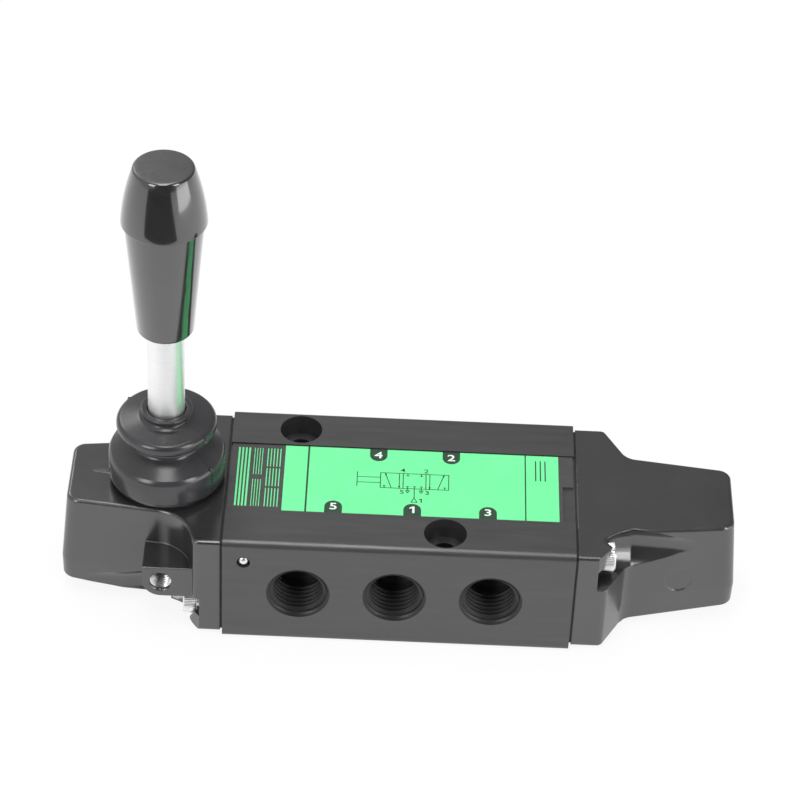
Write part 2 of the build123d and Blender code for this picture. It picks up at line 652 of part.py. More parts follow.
def make_pivot_bush():
    inner = PIN_RADIUS + PIN_CLEARANCE
    outer = PIN_RADIUS + BUSH_WALL
    half = HUB_HALF_WIDTH
    return bar_y(outer, -half, half, LEVER_X, PIVOT_Z) - bar_y(inner, -half, half, LEVER_X, PIVOT_Z)


def make_thrust_washers():
    """A washer on the pin at each side of the lever's hub."""
    washers = []
    for side in (-1, 1):
        hub_face = side * (HUB_HALF_WIDTH + THRUST_WASHER_GAP)
        slot_face = side * (SLOT_HALF_WIDTH - THRUST_WASHER_GAP)
        y0, y1 = sorted((hub_face, slot_face))
        washer = bar_y(THRUST_WASHER_RADIUS, y0, y1, LEVER_X, PIVOT_Z)
        washers.append(washer - bar_y(PIN_RADIUS + PRESS_CLEARANCE, y0, y1, LEVER_X, PIVOT_Z))
    return Compound(washers)


def make_lever_hub():
    """The fulcrum: a cross barrel on the pin, a socket for the rod above and a ball below."""
    bush_seat = PIN_RADIUS + BUSH_WALL + PRESS_CLEARANCE
    socket_floor = HUB_SOCKET_TOP - THREAD_STUB_LENGTH
    hub = bar_y(HUB_RADIUS, -HUB_HALF_WIDTH, HUB_HALF_WIDTH, LEVER_X, PIVOT_Z)
    hub += bar_z(LEVER_RADIUS, PIVOT_Z, HUB_SOCKET_TOP, LEVER_X)
    hub += bar_z(HUB_SHANK_RADIUS, AXIS_Z, PIVOT_Z, LEVER_X)
    hub += Pos(LEVER_X, 0, AXIS_Z) * Sphere(BALL_RADIUS)
    hub -= bar_y(bush_seat, -HUB_HALF_WIDTH, HUB_HALF_WIDTH, LEVER_X, PIVOT_Z)
    return hub - bar_z(THREAD_STUB_RADIUS + TAPPED_CLEARANCE, socket_floor, HUB_SOCKET_TOP, LEVER_X)


def make_lever_rod():
    rod = bar_z(LEVER_RADIUS, HUB_SOCKET_TOP, KNOB_BOTTOM, LEVER_X)
    low = HUB_SOCKET_TOP - THREAD_STUB_LENGTH + THREAD_END_GAP
    high = KNOB_BOTTOM + INSERT_LENGTH - TAPPED_EXTRA_DEPTH
    return rod + bar_z(THREAD_STUB_RADIUS, low, high, LEVER_X)


def make_knob():
    """A tapered grip below a seam and a barrel-shaped cap above it, bored for the insert."""
    seam = KNOB_BOTTOM + KNOB_SEAM_RISE
    top = KNOB_BOTTOM + KNOB_HEIGHT
    under = (KNOB_BOTTOM_RADIUS - KNOB_BOTTOM_ROUNDING, KNOB_BOTTOM)
    side = (KNOB_BOTTOM_RADIUS, KNOB_BOTTOM + KNOB_BOTTOM_ROUNDING)
    mid = ((KNOB_SEAM_RADIUS + KNOB_TOP_RADIUS) / 2 + KNOB_BULGE, (seam + top) / 2)
    outline = Line((0, KNOB_BOTTOM), under)
    outline += RadiusArc(under, side, -KNOB_BOTTOM_ROUNDING)
    outline += Line(side, (KNOB_LOWER_SEAM_RADIUS, seam))
    outline += Line((KNOB_LOWER_SEAM_RADIUS, seam), (KNOB_SEAM_RADIUS, seam))
    rim = (KNOB_TOP_RADIUS, top - KNOB_TOP_ROUNDING)
    flat = (KNOB_TOP_RADIUS - KNOB_TOP_ROUNDING, top)
    outline += ThreePointArc((KNOB_SEAM_RADIUS, seam), mid, rim)
    outline += RadiusArc(rim, flat, -KNOB_TOP_ROUNDING)
    outline += Line(flat, (0, top))
    outline += Line((0, top), (0, KNOB_BOTTOM))
    knob = Pos(LEVER_X, 0, 0) * revolve(Plane.XZ * make_face(outline), Axis.Z)
    return knob - bar_z(INSERT_RADIUS, KNOB_BOTTOM, KNOB_BOTTOM + INSERT_LENGTH, LEVER_X)


def make_knob_insert():
    insert = bar_z(INSERT_RADIUS, KNOB_BOTTOM, KNOB_BOTTOM + INSERT_LENGTH, LEVER_X)
    hole_end = KNOB_BOTTOM + INSERT_LENGTH - TAPPED_EXTRA_DEPTH + THREAD_END_GAP
    return insert - bar_z(THREAD_STUB_RADIUS + TAPPED_CLEARANCE, KNOB_BOTTOM, hole_end, LEVER_X)


def make_lever_boot():
    """A two-fold rubber boot: it snaps over the collar and closes round the lever."""
    bottom = COVER_TOP + BOOT_BOTTOM_GAP
    top = bottom + BOOT_HEIGHT
    shoulder = bottom + BOOT_SHOULDER_HEIGHT
    slope = shoulder + BOOT_SLOPE_RISE
    waist = bottom + BOOT_WAIST_HEIGHT
    waist_top = waist + BOOT_WAIST_LENGTH
    fold = bottom + BOOT_FOLD_HEIGHT
    fold_top = fold + BOOT_FOLD_LENGTH
    neck = top - BOOT_NECK_LENGTH
    edge = BOOT_FOLD_EDGE
    round_base = BOOT_SHOULDER_EDGE
    fold_flat = BOOT_FOLD_RADIUS - edge
    outer = [(BOOT_RADIUS - BOOT_EDGE / 2, bottom), (BOOT_RADIUS, bottom + BOOT_EDGE),
             (BOOT_RADIUS, shoulder - round_base), (BOOT_RADIUS - round_base, shoulder),
             (fold_flat, slope), (BOOT_WAIST_RADIUS, waist), (BOOT_WAIST_RADIUS, waist_top),
             (fold_flat, fold), (BOOT_FOLD_RADIUS, fold + edge), (BOOT_FOLD_RADIUS, fold_top - edge),
             (fold_flat, fold_top), (BOOT_NECK_RADIUS + BOOT_NECK_FOOT, neck - BOOT_NECK_FOOT / 2),
             (BOOT_NECK_RADIUS, neck), (BOOT_NECK_RADIUS, top)]
    wall = BOOT_WALL
    rod = LEVER_RADIUS + BOOT_ROD_GAP
    snap = COLLAR_RADIUS + BOOT_COLLAR_GAP
    ledge = COVER_TOP + COLLAR_HEIGHT + BOOT_COLLAR_GAP
    fold_inside = BOOT_FOLD_RADIUS - wall
    waist_inside = BOOT_WAIST_RADIUS - wall
    inner = [(rod, top), (rod, neck - wall), (fold_inside, fold_top - wall), (fold_inside, fold + wall),
             (waist_inside, waist_top + wall / 2), (waist_inside, waist - wall / 2),
             (fold_flat - wall, slope - wall), (BOOT_RADIUS - wall, shoulder - round_base),
             (BOOT_RADIUS - wall, ledge), (snap, ledge), (snap, bottom)]
    return turned_z(outer + inner, LEVER_X)


def main():
    os.makedirs("parts", exist_ok=True)
    pieces = {
        "valve_body": make_valve_body(),
        "label_plate": make_label_plate(),
        "plug_ball": make_plug_ball(),
        "lever_housing": make_lever_housing(),
        "end_cover": make_end_cover(),
        "gasket_left": gasket(-1),
        "gasket_right": gasket(1),
        "cover_screws_left": make_cover_screws(-1),
        "cover_screws_right": make_cover_screws(1),
        "spring_washers_left": make_spring_washers(-1),
        "spring_washers_right": make_spring_washers(1),
        "end_sleeve_left": make_end_sleeve(-1),
        "end_sleeve_right": make_end_sleeve(1),
        "spool": make_spool(),
        "spool_yoke": make_spool_yoke(),
        "detent_stem": make_detent_stem(),
        "detent_spring": make_detent_spring(),
        "detent_block": make_detent_block(),
        "detent_circlip": make_detent_circlip(),
        "pivot_pin": make_pivot_pin(),
        "pivot_bush": make_pivot_bush(),
        "thrust_washers": make_thrust_washers(),
        "lever_hub": make_lever_hub(),
        "lever_rod": make_lever_rod(),
        "knob": make_knob(),
        "knob_insert": make_knob_insert(),
        "lever_boot": make_lever_boot(),
    }
    for number, x in enumerate(PORT_XS, 1):
        pieces[f"port_cage_{number}"] = make_cage(x)
    for number, x in enumerate(SEAL_XS, 1):
        pieces[f"spool_seal_{number}"] = make_seal(x)
    for name, shape in pieces.items():
        export_step(shape, f"parts/{name}.step")


main()
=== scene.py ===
import json
from math import atan2, cos, hypot, pi, radians, sin

import bmesh
import bpy
from mathutils import Matrix, Quaternion, Vector


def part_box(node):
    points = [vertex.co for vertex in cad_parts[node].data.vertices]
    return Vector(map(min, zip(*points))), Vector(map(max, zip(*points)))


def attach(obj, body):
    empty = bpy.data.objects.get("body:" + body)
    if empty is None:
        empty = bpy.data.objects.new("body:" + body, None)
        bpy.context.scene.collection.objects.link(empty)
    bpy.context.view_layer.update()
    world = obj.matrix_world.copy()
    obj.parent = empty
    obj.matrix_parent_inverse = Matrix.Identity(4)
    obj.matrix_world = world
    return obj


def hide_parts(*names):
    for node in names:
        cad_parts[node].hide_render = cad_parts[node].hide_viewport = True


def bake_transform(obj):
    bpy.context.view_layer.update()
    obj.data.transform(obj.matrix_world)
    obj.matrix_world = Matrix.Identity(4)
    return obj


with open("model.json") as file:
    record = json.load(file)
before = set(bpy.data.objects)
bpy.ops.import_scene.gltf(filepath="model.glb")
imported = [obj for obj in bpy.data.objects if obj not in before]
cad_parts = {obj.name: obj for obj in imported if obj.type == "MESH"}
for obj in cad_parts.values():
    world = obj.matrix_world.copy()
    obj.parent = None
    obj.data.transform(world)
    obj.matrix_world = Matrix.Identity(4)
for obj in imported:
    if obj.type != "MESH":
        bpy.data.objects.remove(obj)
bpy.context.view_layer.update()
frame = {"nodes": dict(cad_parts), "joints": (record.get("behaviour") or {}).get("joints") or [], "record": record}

mm = 0.001                       # pieces are shaped in millimetres and scaled down when they are finished
near = 0.001                     # mm, within which two places count as one


def boxInMm(node):
    low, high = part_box(node)
    return low / mm, high / mm


mounts = {mount["name"]: mount for mount in frame["record"]["mounts"]}
leverPivot = Vector(frame["joints"][0]["pos_m"]) / mm
bodyLow, bodyHigh = boxInMm("valve_body")
axisHeight = (bodyLow.z + bodyHigh.z) / 2


# materials

def setSocket(tree, socket, value):
    # joins another node's output, or sets a plain value
    if isinstance(value, bpy.types.NodeSocket):
        tree.links.new(value, socket)
    else:
        socket.default_value = value


def addNode(tree, kind, inputs=(), **settings):
    node = tree.nodes.new(kind)
    for key, value in settings.items():
        setattr(node, key, value)
    for key, value in dict(inputs).items():
        setSocket(tree, node.inputs[key], value)
    return node


def mixColours(tree, share, first, second):
    return addNode(tree, "ShaderNodeMix", {0: share, 6: first, 7: second}, data_type="RGBA").outputs[2]


def combine(tree, operation, first, second):
    return addNode(tree, "ShaderNodeMath", {0: first, 1: second}, operation=operation).outputs[0]


def dotProduct(tree, first, second):
    node = addNode(tree, "ShaderNodeVectorMath", {0: first, 1: second}, operation="DOT_PRODUCT")
    return node.outputs["Value"]


def noise(tree, place, scale, detail):
    node = addNode(tree, "ShaderNodeTexNoise", {"Vector": place, "Scale": scale, "Detail": detail})
    return node.outputs["Fac"]


def spread(tree, value, low, high, toLow=0.0, toHigh=1.0):
    node = addNode(tree, "ShaderNodeMapRange", {"Value": value, "From Min": low, "From Max": high,
                                                "To Min": toLow, "To Max": toHigh})
    return node.outputs[0]


# what every finish shares: detail of its noises, and the part of each that goes from none to full
pattern = {
    "patchDetail": 4.0, "patches": (0.35, 0.65),
    "smearDetail": 3.0, "smears": (0.3, 0.7),
    "grainDetail": 2.0,
    "speck": (0.05, 0.16),                       # distance from a speck's middle, full to none
    "edgeSamples": 6, "edgeTurn": (0.86, 0.985),
    # noise that breaks up the paler edges, which are wear and a painted highlight
    "edgeWearAndHighlightScale": 260.0, "edgeWearAndHighlightDetail": 3.0, "edgeWearAndHighlightSpread": (0.35, 0.62),
}


def roundedNormal(tree, width):
    # the surface's normal, eased over its edges within this width
    node = addNode(tree, "ShaderNodeBevel", {"Radius": width * mm}, samples=pattern["edgeSamples"])
    return node.outputs["Normal"]


def edgeWearAndHighlightMask(tree, place, width):
    # 1 along sharp edges, where the surface turns within this width, broken up by noise: where edges are painted
    # paler, for wear and a painted highlight
    flat = addNode(tree, "ShaderNodeNewGeometry").outputs["Normal"]
    turn = dotProduct(tree, roundedNormal(tree, width), flat)
    onEdge = spread(tree, turn, *pattern["edgeTurn"], 1.0, 0.0)
    patchy = spread(tree, noise(tree, place, pattern["edgeWearAndHighlightScale"], pattern["edgeWearAndHighlightDetail"]), *pattern["edgeWearAndHighlightSpread"])
    return combine(tree, "MULTIPLY", onEdge, patchy)


def addDust(tree, place, colour, look):
    # pale specks in a few of the cells
    cells = addNode(tree, "ShaderNodeTexVoronoi", {"Vector": place, "Scale": look["dustScale"]}).outputs
    inside = spread(tree, cells["Distance"], *pattern["speck"], 1.0, 0.0)
    rare = spread(tree, cells["Color"], 1 - look["dust"], 1.0)
    return mixColours(tree, combine(tree, "MULTIPLY", inside, rare), colour, (*look["dustColour"], 1))


def makeFinish(name, look):
    # mottle: patches of the second colour; smear: changes of gloss; grain: fine relief; dust: pale specks;
    # edge colour: paler along edges, for wear and a painted highlight; eased: how far edges look rounded
    material = bpy.data.materials.new(name)
    material.use_nodes = True
    tree = material.node_tree
    shader = tree.nodes["Principled BSDF"]
    place = addNode(tree, "ShaderNodeTexCoord").outputs["Object"]
    stretch = look.get("stretch", (1, 1, 1))
    along = addNode(tree, "ShaderNodeMapping", {"Vector": place, "Scale": stretch}).outputs["Vector"]

    patches = spread(tree, noise(tree, along, look["mottle"], pattern["patchDetail"]), *pattern["patches"])
    colour = mixColours(tree, patches, (*look["colour"], 1), (*look["colourTwo"], 1))
    if look.get("dust"):
        colour = addDust(tree, place, colour, look)
    # edges painted paler: wear, and a painted highlight along them
    if look.get("edgeWearAndHighlight"):
        colour = mixColours(tree, edgeWearAndHighlightMask(tree, place, look["edgeWearAndHighlightWidth"]), colour, (*look["edgeWearAndHighlight"], 1))

    smears = noise(tree, along, look["smear"], pattern["smearDetail"])
    relief = noise(tree, along, look["grain"], pattern["grainDetail"])
    bump = addNode(tree, "ShaderNodeBump", {"Height": relief, "Distance": look["relief"] * mm,
                                            "Strength": 1.0})
    if look.get("eased"):
        setSocket(tree, bump.inputs["Normal"], roundedNormal(tree, look["eased"]))

    settings = {"Base Color": colour, "Normal": bump.outputs["Normal"],
                "Roughness": spread(tree, smears, *pattern["smears"], *look["roughness"]),
                "Metallic": look.get("metallic", 0.0), "IOR": look.get("ior", 1.5),
                "Coat Weight": look.get("coat", 0.0), "Coat Roughness": look.get("coatRoughness", 0.1)}
    for socket, value in settings.items():
        setSocket(tree, shader.inputs[socket], value)
    return material


finishes = {
    # satin black anodising on drawn bar: faint drawing lines along X
    "blackAnodised": {"colour": (0.023, 0.023, 0.024), "colourTwo": (0.030, 0.030, 0.031), "mottle": 60,
                      "stretch": (1, 9, 9), "smear": 90, "roughness": (0.34, 0.42),
                      "grain": 900, "relief": 0.004, "ior": 1.8,
                      "dust": 0.02, "dustScale": 520, "dustColour": (0.26, 0.26, 0.26),
                      "edgeWearAndHighlight": (0.08, 0.08, 0.08), "edgeWearAndHighlightWidth": 0.12},
    # thin gloss paint over a die casting: slight orange peel, thinner on the edges, whose paler colour is wear and
    # a painted highlight
    "blackCasting": {"colour": (0.021, 0.020, 0.021), "colourTwo": (0.027, 0.026, 0.027), "mottle": 70,
                     "smear": 120, "roughness": (0.15, 0.24), "grain": 420, "relief": 0.006, "ior": 1.95,
                     "dust": 0.02, "dustScale": 420, "dustColour": (0.26, 0.26, 0.26),
                     "edgeWearAndHighlight": (0.13, 0.13, 0.13), "edgeWearAndHighlightWidth": 0.2, "eased": 0.5},
    # anodising darkened to paint the shade inside the ports, on the threads and on the skins over their chamfers
    "anodisedPaintedShade": {"colour": (0.006, 0.006, 0.006), "colourTwo": (0.010, 0.010, 0.010), "mottle": 60,
                      "smear": 90, "roughness": (0.36, 0.48), "grain": 900, "relief": 0.004, "ior": 1.5},
    "labelBlack": {"colour": (0.045, 0.047, 0.045), "colourTwo": (0.056, 0.058, 0.056), "mottle": 200,
                   "stretch": (1, 5, 5), "smear": 300, "roughness": (0.42, 0.52),
                   "grain": 1500, "relief": 0.003},
    "labelGreen": {"colour": (0.150, 0.80, 0.310), "colourTwo": (0.165, 0.84, 0.335), "mottle": 150,
                   "smear": 200, "roughness": (0.38, 0.48), "grain": 1500, "relief": 0.003},
    "printBlack": {"colour": (0.012, 0.045, 0.02), "colourTwo": (0.016, 0.06, 0.028), "mottle": 900,
                   "smear": 500, "roughness": (0.45, 0.55), "grain": 1500, "relief": 0.002},
    "printWhite": {"colour": (0.72, 0.84, 0.75), "colourTwo": (0.80, 0.90, 0.82), "mottle": 900,
                   "smear": 500, "roughness": (0.45, 0.55), "grain": 1500, "relief": 0.002},
    # ground rod, zinc plated: fine rings round it
    "brightRod": {"colour": (0.98, 0.98, 0.98), "colourTwo": (0.94, 0.945, 0.95), "mottle": 160,
                  "stretch": (1, 1, 14), "smear": 220, "roughness": (0.40, 0.46),
                  "grain": 500, "relief": 0.0006, "metallic": 1.0},
    "zincSteel": {"colour": (0.93, 0.935, 0.94), "colourTwo": (0.84, 0.845, 0.86), "mottle": 700,
                  "smear": 900, "roughness": (0.26, 0.36), "grain": 2200, "relief": 0.0015, "metallic": 1.0},
    "springSteel": {"colour": (0.42, 0.41, 0.40), "colourTwo": (0.30, 0.29, 0.28), "mottle": 500,
                    "smear": 700, "roughness": (0.25, 0.40), "grain": 2000, "relief": 0.006, "metallic": 1.0},
    "cutAlloy": {"colour": (0.80, 0.80, 0.80), "colourTwo": (0.66, 0.66, 0.67), "mottle": 900,
                 "stretch": (1, 6, 1), "smear": 900, "roughness": (0.22, 0.34),
                 "grain": 2500, "relief": 0.002, "metallic": 1.0},
    "turnedBronze": {"colour": (0.62, 0.40, 0.16), "colourTwo": (0.50, 0.31, 0.12), "mottle": 500,
                     "smear": 700, "roughness": (0.22, 0.36), "grain": 2000, "relief": 0.006,
                     "metallic": 1.0},
    "sealRubber": {"colour": (0.020, 0.020, 0.021), "colourTwo": (0.028, 0.028, 0.029), "mottle": 400,
                   "smear": 500, "roughness": (0.45, 0.60), "grain": 1800, "relief": 0.01},
    "gasketRubber": {"colour": (0.012, 0.012, 0.012), "colourTwo": (0.018, 0.018, 0.018), "mottle": 400,
                     "smear": 500, "roughness": (0.60, 0.75), "grain": 1800, "relief": 0.012},
    # moulded rubber, half glossy, with dust that clings to it
    "bootRubber": {"colour": (0.028, 0.028, 0.030), "colourTwo": (0.038, 0.038, 0.041), "mottle": 110,
                   "smear": 160, "roughness": (0.19, 0.27), "grain": 1300, "relief": 0.004, "ior": 1.6,
                   "dust": 0.07, "dustScale": 640, "dustColour": (0.34, 0.35, 0.36)},
    "whiteNylon": {"colour": (0.80, 0.79, 0.74), "colourTwo": (0.74, 0.73, 0.68), "mottle": 300,
                   "smear": 400, "roughness": (0.40, 0.55), "grain": 1500, "relief": 0.01},
    # polished phenolic moulding, and the duller top of the knob
    "blackPhenolic": {"colour": (0.013, 0.0125, 0.0125), "colourTwo": (0.018, 0.0175, 0.0175), "mottle": 90,
                      "smear": 140, "roughness": (0.13, 0.19), "grain": 240, "relief": 0.006, "ior": 1.8,
                      "dust": 0.01, "dustScale": 420, "dustColour": (0.35, 0.35, 0.35),
                      "coat": 1.0, "coatRoughness": 0.06},
    "mattPhenolic": {"colour": (0.044, 0.042, 0.042), "colourTwo": (0.054, 0.052, 0.052), "mottle": 160,
                     "smear": 240, "roughness": (0.24, 0.32), "grain": 1500, "relief": 0.004, "ior": 1.8},
}
surfaces = {name: makeFinish(name, look) for name, look in finishes.items()}

finishOfNode = {
    "valve_body": "blackAnodised", "label_plate": "labelBlack", "plug_ball": "zincSteel",
    "lever_housing": "blackCasting", "end_cover": "blackCasting",
    "gasket_left": "gasketRubber", "gasket_right": "gasketRubber",
    "cover_screws_left": "zincSteel", "cover_screws_right": "zincSteel",
    "spring_washers_left": "zincSteel", "spring_washers_right": "zincSteel",
    "end_sleeve_left": "cutAlloy", "end_sleeve_right": "cutAlloy",
    "spool": "cutAlloy", "spool_yoke": "zincSteel", "detent_stem": "zincSteel",
    "detent_spring": "springSteel", "detent_block": "whiteNylon", "detent_circlip": "springSteel",
    "pivot_pin": "zincSteel", "pivot_bush": "turnedBronze", "thrust_washers": "turnedBronze",
    "lever_hub": "zincSteel", "lever_rod": "brightRod", "knob": "blackPhenolic",
    "knob_insert": "turnedBronze", "lever_boot": "bootRubber",
}
finishOfNode.update({f"port_cage_{number}": "cutAlloy" for number in range(1, 6)})
finishOfNode.update({f"spool_seal_{number}": "sealRubber" for number in range(1, 7)})
for node, finish in finishOfNode.items():
    mesh = frame["nodes"][node].data
    mesh.materials.clear()
    mesh.materials.append(surfaces[finish])
print("materials made:", len(surfaces))


# shaping

def turnedShape(profile, steps):
    # profile: (radius, height) points, turned about Z
    shape = bmesh.new()
    points = [shape.verts.new((radius, 0, height)) for radius, height in profile]
    line = [shape.edges.new(pair) for pair in zip(points, points[1:])]
    bmesh.ops.spin(shape, geom=points + line, cent=(0, 0, 0), axis=(0, 0, 1), angle=2 * pi,
                   steps=steps, use_merge=True)
    bmesh.ops.remove_doubles(shape, verts=shape.verts, dist=near / 10)
    return shape


def closedProfile(profile):
    return [*profile, profile[0]]


def roundRing(shape, radius, height, width, segments):
    # rounds the ring edge at this radius and height
    def onRing(vert):
        return abs(hypot(vert.co.x, vert.co.y) - radius) < near and abs(vert.co.z - height) < near
    ring = [edge for edge in shape.edges if all(onRing(vert) for vert in edge.verts)]
    bmesh.ops.bevel(shape, geom=ring, offset=width, offset_type="OFFSET", segments=segments,
                    affect="EDGES", profile=0.5, material=-1)


def raiseOutline(shape, points, low, high):
    # a flat form with this outline, between two heights
    face = shape.faces.new([shape.verts.new((x, y, low)) for x, y in points])
    grown = bmesh.ops.extrude_face_region(shape, geom=[face])["geom"]
    raised = [item for item in grown if isinstance(item, bmesh.types.BMVert)]
    bmesh.ops.translate(shape, verts=raised, vec=(0, 0, high - low))


def addPlate(shape, low, high):
    # a box between two corners
    low, high = Vector(low), Vector(high)
    made = bmesh.ops.create_cube(shape, size=1)["verts"]
    bmesh.ops.scale(shape, verts=made, vec=high - low)
    bmesh.ops.translate(shape, verts=made, vec=(low + high) / 2)


def addCopy(shape, other, matrix):
    # adds a placed copy of another shape
    mesh = bpy.data.meshes.new("copy")
    other.to_mesh(mesh)
    mesh.transform(matrix)
    shape.from_mesh(mesh)
    bpy.data.meshes.remove(mesh)


def facing(direction):
    # turns +Z to the direction
    return Vector(direction).to_track_quat("Z", "Y").to_matrix().to_4x4()


def finishPiece(shape, name, finish, body, replaced=(), sharpAbove=32):
    # scales the shape to metres, and gives it its shading, finish and body
    bmesh.ops.scale(shape, verts=shape.verts, vec=(mm, mm, mm))
    bmesh.ops.recalc_face_normals(shape, faces=shape.faces)
    mesh = bpy.data.meshes.new(name)
    shape.to_mesh(mesh)
    shape.free()
    mesh.shade_smooth()
    mesh.set_sharp_from_angle(angle=radians(sharpAbove))
    mesh.materials.append(surfaces[finish])
    piece = bpy.data.objects.new(name, mesh)
    bpy.context.scene.collection.objects.link(piece)
    if replaced:
        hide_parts(*replaced)
    if body:
        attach(piece, body)
    return piece


# threads: one ridge wound inside each hole

# the ridge's outline along the hole, in shares of its half width, which is a share of the pitch
ridgeForm = {"half": 0.46, "foot": 0.1, "crest": 0.85, "crestEnd": 1.15, "end": 1.9}


def threadShape(radius, thread):
    # starts at the mouth, z = 0, and winds inwards
    pitch, steps = thread["pitch"], thread["steps"]
    half = pitch * ridgeForm["half"]
    crest = radius - thread["ridge"]
    turns = (thread["length"] - pitch) / pitch
    outline = [(radius, "foot"), (crest, "crest"), (crest, "crestEnd"), (radius, "end")]
    shape = bmesh.new()
    corners = [shape.verts.new((x, 0, -half * ridgeForm[place])) for x, place in outline]
    line = [shape.edges.new(pair) for pair in zip(corners, corners[1:] + corners[:1])]
    bmesh.ops.spin(shape, geom=corners + line, cent=(0, 0, 0), axis=(0, 0, 1), dvec=(0, 0, -pitch / steps),
                   angle=2 * pi * turns, steps=int(round(turns * steps)), use_merge=False)
    ends = [edge for edge in shape.edges if edge.is_boundary]
    bmesh.ops.holes_fill(shape, edges=ends, sides=4)
    return shape


# mouth: how far inside the face the turns start; then the thickness of the dark skin that paints shade over the
# chamfer
portThreads = {"pitch": 1.337, "ridge": 0.80, "mouth": 0.3, "length": 10.2, "steps": 40,
               "chamfer": 0.7, "paintedShadeSkin": 0.05, "paintedShadeSkinSteps": 72}


def mouthPaintedShade(radius):
    # the dark skin over one port's chamfer, a painted shade, its outer edge at z = 0
    wide, skin = portThreads["chamfer"], portThreads["paintedShadeSkin"]
    profile = [(radius + wide, 0), (radius + wide - skin, 0), (radius - skin, -wide), (radius, -wide)]
    return turnedShape(closedProfile(profile), portThreads["paintedShadeSkinSteps"])


def makePortThreads():
    allPorts = bmesh.new()
    for number in range(1, 6):
        mount = mounts[f"port_{number}"]
        radius = mount["dims"]["r_mm"]
        axis = Vector(mount["axis"])
        face = Vector((mount["pos_m"][0] / mm, bodyLow.y if axis.y < 0 else bodyHigh.y, axisHeight))
        start = face - axis * portThreads["mouth"]
        for shape, place in ((threadShape(radius, portThreads), start), (mouthPaintedShade(radius), face)):
            addCopy(allPorts, shape, Matrix.Translation(place) @ facing(axis))
            shape.free()
    # the threads and chamfer skins take the darkened anodising: painted shade in the ports
    finishPiece(allPorts, "port_threads_painted_shade", "anodisedPaintedShade", "housing", sharpAbove=50)


# mouth: how far the turns reach out into the chamfer
bossThread = {"pitch": 0.8, "ridge": 0.42, "mouth": 0.2, "length": 8.4, "steps": 56}


def makeBossThread():
    mount = mounts["boss_thread"]
    middle = Vector(mount["pos_m"]) / mm
    axis = Vector(mount["axis"])
    start = middle + axis * (mount["dims"]["length_mm"] / 2 + bossThread["mouth"])
    turns = threadShape(mount["dims"]["r_mm"], bossThread)
    bmesh.ops.transform(turns, verts=turns.verts, matrix=Matrix.Translation(start) @ facing(axis))
    finishPiece(turns, "boss_thread_turns", "cutAlloy", "housing", sharpAbove=40)


makePortThreads()
makeBossThread()
print("threads wound")


# boot

boot = {
    "steps": 112, "segments": 4,
    # up the outside: (radius, height, rounding), heights above the boot's lower edge
    "outside": [(13.05, 0.0, 0.3), (13.4, 0.9, 0.3), (13.4, 6.3, 0.0), (12.95, 7.5, 0.9), (12.1, 8.1, 0.9),
                (10.5, 9.2, 0.4), (8.7, 10.3, 0.3), (8.4, 10.8, 0.3), (8.4, 11.6, 0.3), (10.4, 13.0, 0.3),
                (11.45, 13.8, 0.6), (11.45, 15.9, 0.8), (10.5, 16.35, 0.2), (6.3, 16.9, 0.3),
                (5.5, 17.5, 0.25), (5.6, 18.2, 0.25), (6.0, 18.7, 0.2), (5.8, 19.08, 0.18)],
    # down the inside
    "inside": [(4.55, 19.05, 0.12), (4.3, 18.6, 0.0), (4.3, 17.4, 0.0), (4.6, 16.2, 0.0), (9.9, 15.4, 0.0),
               (10.2, 14.2, 0.0), (7.5, 12.0, 0.0), (7.5, 10.4, 0.0), (11.2, 7.6, 0.0), (11.9, 6.6, 0.0),
               (11.65, 5.6, 0.0), (11.65, 0.0, 0.0)],
    # the seam of the mould: its turn in degrees, how proud and wide it is, and how deep it starts
    "flashTurn": -36, "flashProud": 0.12, "flashWidth": 0.16, "flashRoot": 0.25,
    # (radius, height, size) of the nubs where the mould's vents were cut off
    "nubs": [(11.5, 14.7, 0.62), (5.45, 18.4, 0.36), (13.1, 7.4, 0.4)], "nubDepth": 0.8,
    "still": 5.0, "moving": 2.0,
}


def flashShape():
    # a thin rib up the outside at angle 0, with its nubs
    root, proud = boot["flashRoot"], boot["flashProud"]
    shape = bmesh.new()
    line = [shape.verts.new((radius - root, 0, height)) for radius, height, _ in boot["outside"][1:]]
    edges = [shape.edges.new(pair) for pair in zip(line, line[1:])]
    grown = bmesh.ops.extrude_edge_only(shape, edges=edges)["geom"]
    outer = [item for item in grown if isinstance(item, bmesh.types.BMVert)]
    bmesh.ops.translate(shape, verts=outer, vec=(root + proud, 0, 0))
    bmesh.ops.solidify(shape, geom=shape.faces, thickness=boot["flashWidth"])
    for radius, height, size in boot["nubs"]:
        nub = bmesh.ops.create_icosphere(shape, subdivisions=3, radius=size)["verts"]
        bmesh.ops.scale(shape, verts=nub, vec=(boot["nubDepth"], 1.0, 1.0))
        bmesh.ops.translate(shape, verts=nub, vec=(radius, 0, height))
    return shape


def makeBoot():
    low, high = boxInMm("lever_boot")
    points = boot["outside"] + boot["inside"]
    shape = turnedShape(closedProfile([(radius, height) for radius, height, _ in points]), boot["steps"])
    for radius, height, rounding in points:
        if rounding:
            roundRing(shape, radius, height, rounding, boot["segments"])
    flash = flashShape()
    for turn in (boot["flashTurn"], boot["flashTurn"] + 180):
        addCopy(shape, flash, Matrix.Rotation(radians(turn), 4, "Z"))
    flash.free()
    bmesh.ops.translate(shape, verts=shape.verts, vec=(leverPivot.x, 0, low.z))
    piece = finishPiece(shape, "lever_boot_skin", "bootRubber", None, ["lever_boot"],
                        sharpAbove=60)
    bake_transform(piece)


makeBoot()
print("boot moulded")


# knob

knob = {
    "seam": 29.7, "lowRadius": 6.4, "lowRounding": 0.9, "lowSeamRadius": 8.85, "seamRadius": 9.6,
    "topRadius": 6.7, "topRounding": 0.5, "crown": 0.3, "bulge": 0.5, "bulgeSteps": 8, "lip": 0.25,
    "stepDeep": 0.5, "stepHigh": 0.45,           # the step in shadow under the cap's lip
    "footRadius": 4.7, "footMouth": 4.9, "footDeep": 0.4,      # shallow hollow round the rod
    "matt": 0.8,                                 # faces that point up more than this are duller
    "steps": 144, "segments": 5,
}


